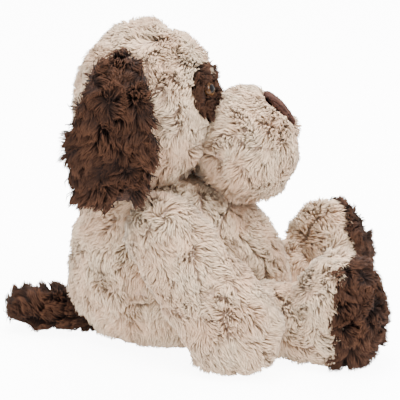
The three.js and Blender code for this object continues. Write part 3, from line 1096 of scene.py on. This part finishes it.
# %% Legs
ANKLE_BACK = 12 * MM  # from the middle of the foot's bag to where the whole leg can be seen from
TOE_LONGEST = 15 * MM
for side in SIDES:
    body = f"leg_{side}"
    names = [f"leg_{side}_skin", f"foot_{side}_cap", f"leg_{side}_stuffing", f"foot_{side}_bead_bag"]
    hip = PIVOT[f"leg_{side}_swing"]
    foot = middle(f"foot_{side}_bead_bag")
    way = Vector((foot.x - hip.x, foot.y - hip.y, 0)).normalized()
    across = way.cross(Vector((0, 0, 1)))
    cap = NODES[f"foot_{side}_cap"]
    reach = min((cap.matrix_world @ v.co).dot(way) for v in cap.data.vertices)
    cap_at = way * reach
    ankle = Vector((foot.x, foot.y, hip.z)) - way * ANKLE_BACK
    leg = form_over(body, names, ankle, VOXEL)
    soften(leg, 2)
    stuff(leg, [(hip, across, everywhere), (cap_at, way, everywhere)])
    leg_comb = along(way * 0.8 + Vector((0, 0, -0.45)))
    toe_comb = along(Vector((0, 0, -1)) + way * 0.2)

    def on_cap(point, way=way, reach=reach):
        return point.dot(way) >= reach

    def on_leg(point, on_cap=on_cap):
        return not on_cap(point)

    grow(f"leg_{side}_pile", carrier(leg, body, leg_comb, on_leg), body, "cream_plush", CREAM_PILE, Seed=13)
    toes_carrier = carrier(leg, body, toe_comb, on_cap, TOE_LONGEST)
    grow(f"foot_{side}_pile", toes_carrier, body, "brown_plush", BROWN_PILE, Seed=14, **SHAGGY)
    leg, toes = cut_off(leg, f"foot_{side}", cap_at, way)
    finish(leg, body, "cream_plush", CREAM_BACK, names[:1])
    finish(toes, body, "brown_plush", BROWN_BACK, names[1:2])

# %% [markdown]
# ## Ears
# Each ear is two teardrops of brown plush sewn together and hung from a seam on the side of the head. It has
# no stuffing, so it hangs flat.


# %% Ears
def layer(name, node_name, voxel):
    made = new_object(name, NODES[node_name].data.copy())
    made.data.transform(NODES[node_name].matrix_world)
    remesh(made, voxel)
    soften(made, 3)
    return made


EAR_VOXEL, EAR_LONGEST = 2.8 * MM, 16 * MM
EAR_CLEAR = 1.6 * MM  # pile starts this far from the partner, so none grows between the two layers
LAYERS = (("front", "lining", 1.6 * MM2), ("lining", "front", 2.3 * MM2))  # layer, partner, area per lock
EAR_COMB = along(Vector((0, 0.2, -1)))
for side in SIDES:
    body = f"ear_{side}"
    for part, other, area in LAYERS:
        flap = layer(f"ear_{side}_{part}_flap", f"ear_{side}_{part}", EAR_VOXEL)
        partner = tree_of([f"ear_{side}_{other}"])

        def showing(point, partner=partner):
            return partner.find_nearest(point)[3] > EAR_CLEAR

        hair = {**SHAGGY, "Area per lock": area}
        hairy = carrier(flap, body, EAR_COMB, showing, EAR_LONGEST)
        grow(f"ear_{side}_{part}_pile", hairy, body, "brown_plush", BROWN_PILE, Seed=17, **hair)
        finish(flap, body, "brown_plush", BROWN_BACK, [f"ear_{side}_{part}"], 0.2)

# %% [markdown]
# ## Tail
# The tail is a short stuffed tube. It lies on the floor behind, and its pile is the longest on the toy.

# %% Tail
TAIL_VOXEL, TAIL_LONGEST = 3.5 * MM, 19 * MM
UNDER_TAIL = 12 * MM
TAIL_PILE = {**SHAGGY, "Length": 18 * MM, "Swirl": 2.2, "Gather": 0.6}
tail = form_over("tail", ["tail_skin", "tail_stuffing"], middle("tail_skin"), TAIL_VOXEL)
soften(tail, 2)
stuff(tail, [(Vector((0, 0, 0)), ACROSS, lambda p: p.z < UNDER_TAIL)])
whole = carrier(tail, "tail", along(Vector((0, 0.75, 0.55))), None, TAIL_LONGEST)
grow("tail_pile", whole, "tail", "brown_plush", BROWN_PILE, Seed=19, **TAIL_PILE)
finish(tail, "tail", "brown_plush", BROWN_BACK, ["tail_skin"])

# %% [markdown]
# ## Inside
# Loose fibre fills the head, the torso and the limbs, and cotton pouches of beads weigh down the seat, the
# paws and the feet. None of it shows, but a part that is opened up should have it.


# %% Filling and pouches
def lumpy(name, node_name, voxel, size, depth, fabric, slot):
    made = layer(name, node_name, voxel)
    for v, normal in [(v, v.normal.copy()) for v in made.data.vertices]:
        lump = noise.noise(v.co / size)
        v.co -= normal * depth * (0.5 + lump)
    made.data.materials.clear()
    shade_smooth(made)
    dress(made, fabric, slot, BODY_OF[node_name], node_name)


FILL_LOOK = (5.5 * MM, 14 * MM, 1.6 * MM)  # voxel, size of a lump, depth of a lump
POUCH_LOOK = (2.5 * MM, 6 * MM, 1.0 * MM)
for name in sorted(NODES):
    if name.endswith("_stuffing"):
        lumpy(name + "_fill", name, *FILL_LOOK, FIBRE, "stuffing")
    elif name.endswith("_bead_bag"):
        lumpy(name + "_pouch", name, *POUCH_LOOK, BEADS, "bead_bag")
bpy.data.objects.remove(LOCK)

# %% [markdown]
# ## Light and camera
# A pale floor runs up into a pale room. Four large soft lights stand round the toy: the key in front of its
# near side, a weak fill behind that side, one on the far side, and one overhead that lights the top of the
# head. The floor and the room look brighter to the camera than they light the toy, so that they come out
# white and the pile doesn't.


# %% Studio
AIM = Vector((0, -0.0158, 0.1305))  # what the camera and the lights point at
PAPER = 0.92
FLOOR_GLOW = (0.8, 9.0)  # for light, and for the camera
ROOM_GLOW = (1.15, 11.5)
LIGHTS = (
    ("key", (-1.1, -1.3, 2.1), 1.3, 84),
    ("fill", (-1.5, 1.2, 1.0), 1.6, 20),
    ("back", (1.4, -0.3, 2.2), 1.4, 90),
    ("top", (-0.2, 0.3, 2.6), 1.4, 110),
)


def area_light(name, at, size, power):
    lamp = bpy.data.lights.new(name, "AREA")
    lamp.size = size
    lamp.energy = power
    made = new_object(name, lamp)
    made.location = at
    made.rotation_euler = (AIM - Vector(at)).to_track_quat("-Z", "Y").to_euler()


def glowing(tree, strength, for_light, for_camera):
    seen = node(tree, "ShaderNodeLightPath").outputs["Is Camera Ray"]
    glow = node(tree, "ShaderNodeMapRange")
    glow.inputs["To Min"].default_value = for_light
    glow.inputs["To Max"].default_value = for_camera
    tree.links.new(seen, glow.inputs["Value"])
    tree.links.new(glow.outputs["Result"], strength)


FLOOR_HALF = 9
corners = [(x * FLOOR_HALF, y * FLOOR_HALF, 0) for x, y in ((-1, -1), (1, -1), (1, 1), (-1, 1))]
floor = new_object("floor", mesh_from("floor", corners, [(0, 1, 2, 3)]))
pale, pale_tree, pale_shader = material("floor_paper", 0.9)
pale_shader.inputs["Base Color"].default_value = (PAPER, PAPER, PAPER, 1.0)
pale_shader.inputs["Emission Color"].default_value = (*WHITE, 1.0)
glowing(pale_tree, pale_shader.inputs["Emission Strength"], *FLOOR_GLOW)
floor.data.materials.append(pale)
for light in LIGHTS:
    area_light(*light)
world = bpy.data.worlds.new("room")
world.use_nodes = True
sky = world.node_tree.nodes["Background"]
sky.inputs["Color"].default_value = (*WHITE, 1.0)
glowing(world.node_tree, sky.inputs["Strength"], *ROOM_GLOW)
scene.world = world

AZIMUTH, ELEVATION, DISTANCE = -90.0, 17.0, 2.0
FOCAL_LENGTH, SENSOR_WIDTH = 188.8, 36.0  # millimetres
turn, rise = math.radians(AZIMUTH), math.radians(ELEVATION)
out = Vector((math.sin(turn) * math.cos(rise), -math.cos(turn) * math.cos(rise), math.sin(rise)))
lens = bpy.data.cameras.new("camera")
lens.lens = FOCAL_LENGTH
lens.sensor_width = SENSOR_WIDTH
camera = new_object("camera", lens)
camera.location = AIM + out * DISTANCE
camera.rotation_euler = (-out).to_track_quat("-Z", "Y").to_euler()
scene.camera = camera
